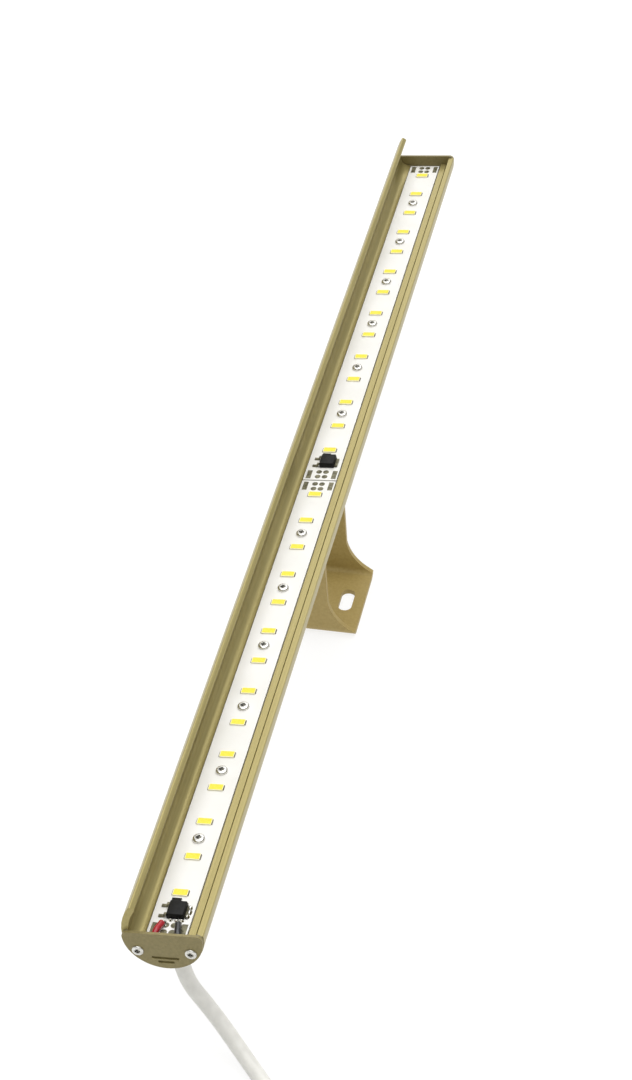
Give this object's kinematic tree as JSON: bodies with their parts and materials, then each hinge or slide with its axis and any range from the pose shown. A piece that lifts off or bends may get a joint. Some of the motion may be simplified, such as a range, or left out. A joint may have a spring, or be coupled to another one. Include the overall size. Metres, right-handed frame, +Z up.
{
  "type": "led linear light",
  "caption": "Slim outdoor LED bar: gold aluminium channel with a tall fin, LED boards, sealed end caps, a tilting U bracket and a white cable with a plug.",
  "frame": {"origin": "centre of the bounding box at its bottom, without the cord: the middle of the bracket's underside", "axes": "+X along the light towards the end where the cable leaves, +Y towards the low rim, away from the fin, +Z up"},
  "size_m": [0.6641, 0.0757, 0.0752],
  "materials": {
    "anodised_gold": "champagne gold, satin anodised",
    "bracket_metal": "champagne gold, satin",
    "board_white": "white solder mask, smooth",
    "led_body": "white moulded",
    "led_phosphor": "yellow phosphor under clear resin",
    "solder": "dull tinned",
    "chip_black": "black moulded",
    "screw_steel": "plain steel",
    "seal_rubber": "grey rubber",
    "cable_white": "white sheath, satin",
    "wire_red": "red insulation",
    "wire_black": "black insulation",
    "pin_brass": "plated",
    "tie_white": "white nylon"
  },
  "bodies": {
    "bracket": {"mounting_bracket": "bracket_metal", "cable_coil": "cable_white", "cable_tie": "tie_white", "cable_tail": "cable_white", "connector_body": "cable_white", "connector_pins": "pin_brass"},
    "light": {"profile_body": "anodised_gold", "end_cap_near": "anodised_gold", "end_cap_far": "anodised_gold", "pivot_block": "anodised_gold", "end_gasket_near": "seal_rubber", "end_gasket_far": "seal_rubber", "cable_grommet": "seal_rubber", "cap_screws_near": "screw_steel", "cap_screws_far": "screw_steel", "board_screws_near": "screw_steel", "board_screws_far": "screw_steel", "block_screws": "screw_steel", "nut_plate": "screw_steel", "pivot_washers": "screw_steel", "spring_washers": "screw_steel", "pivot_screws": "screw_steel", "led_board_near": "board_white", "led_board_far": "board_white", "led_packages_near": "led_body", "led_packages_far": "led_body", "led_windows_near": "led_phosphor", "led_windows_far": "led_phosphor", "led_terminals_near": "solder", "led_terminals_far": "solder", "chip_leads_near": "solder", "chip_leads_far": "solder", "solder_pads_near": "solder", "solder_pads_far": "solder", "driver_chip_near": "chip_black", "driver_chip_far": "chip_black", "chip_resistor_near": "chip_black", "chip_resistor_far": "chip_black", "wire_red": "wire_red", "wire_black": "wire_black", "cable_drop": "cable_white"}
  },
  "joints": [
    {"name": "tilt", "type": "hinge", "parent": "bracket", "child": "light", "pos_m": [0, 0, 0.042], "axis": [1, 0, 0], "range_deg": [-95, 85]}
  ]
}
